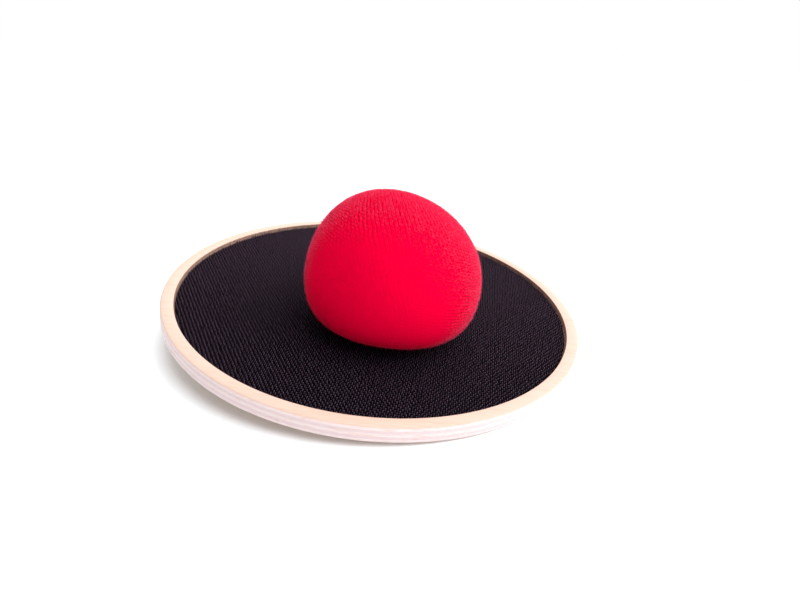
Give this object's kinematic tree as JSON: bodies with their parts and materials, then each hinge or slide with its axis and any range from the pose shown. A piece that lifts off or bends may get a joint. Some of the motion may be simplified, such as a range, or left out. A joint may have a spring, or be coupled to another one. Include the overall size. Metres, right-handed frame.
{
  "type": "hook and loop catch paddle",
  "caption": "Round plywood catch paddle with a hook face, an adjustable hand strap across its back and a soft knitted ball that sticks to the hooks.",
  "frame": {"origin": "under the middle of the disc, on the surface that the pressed strap rests on", "axes": "+Z along the disc's axis, out of the hook face; X along the hand strap, with its adjustable end at -X; +Y away from the viewer of the picture"},
  "size_m": [0.18, 0.18, 0.0691],
  "materials": {
    "birch_plywood": "sanded birch plywood",
    "pad_adhesive": "acrylic adhesive film",
    "hook_nylon": "woven nylon hooks",
    "strap_webbing": "brushed loop webbing",
    "black_thread": "sewing thread",
    "red_knit": "brushed jersey knit",
    "white_filling": "polyester wadding",
    "red_thread": "sewing thread"
  },
  "bodies": {
    "paddle": {"back_board": "birch_plywood", "rim_ring": "birch_plywood", "pad_adhesive": "pad_adhesive", "hook_sheet": "hook_nylon", "strap_bridge_wrap": "strap_webbing", "strap_sewn_loop": "strap_webbing", "bar_tack_inner": "black_thread", "bar_tack_outer": "black_thread", "strap_right_leg": "strap_webbing", "strap_left_leg": "strap_webbing", "strap_tail_leg": "strap_webbing"},
    "strap": {"strap_crown": "strap_webbing"},
    "tail": {"tail_flap": "strap_webbing", "tail_hook_patch": "hook_nylon"},
    "ball": {"ball_cover": "red_knit", "ball_filling": "white_filling", "ball_gather_thread": "red_thread"}
  },
  "joints": [
    {"name": "strap_lift", "type": "slide", "parent": "paddle", "child": "strap", "axis": [0, 0, -1], "range_m": [0, 0.025], "deforming": ["strap_right_leg", "strap_left_leg", "strap_tail_leg"]},
    {"name": "tail_peel", "type": "hinge", "parent": "strap", "child": "tail", "pos_m": [-0.034, 0, 0.0007], "axis": [0, 1, 0], "range_deg": [0, 75]},
    {"name": "ball_pull", "type": "slide", "parent": "paddle", "child": "ball", "axis": [0, 0, 1], "range_m": [0, 0.12]}
  ]
}
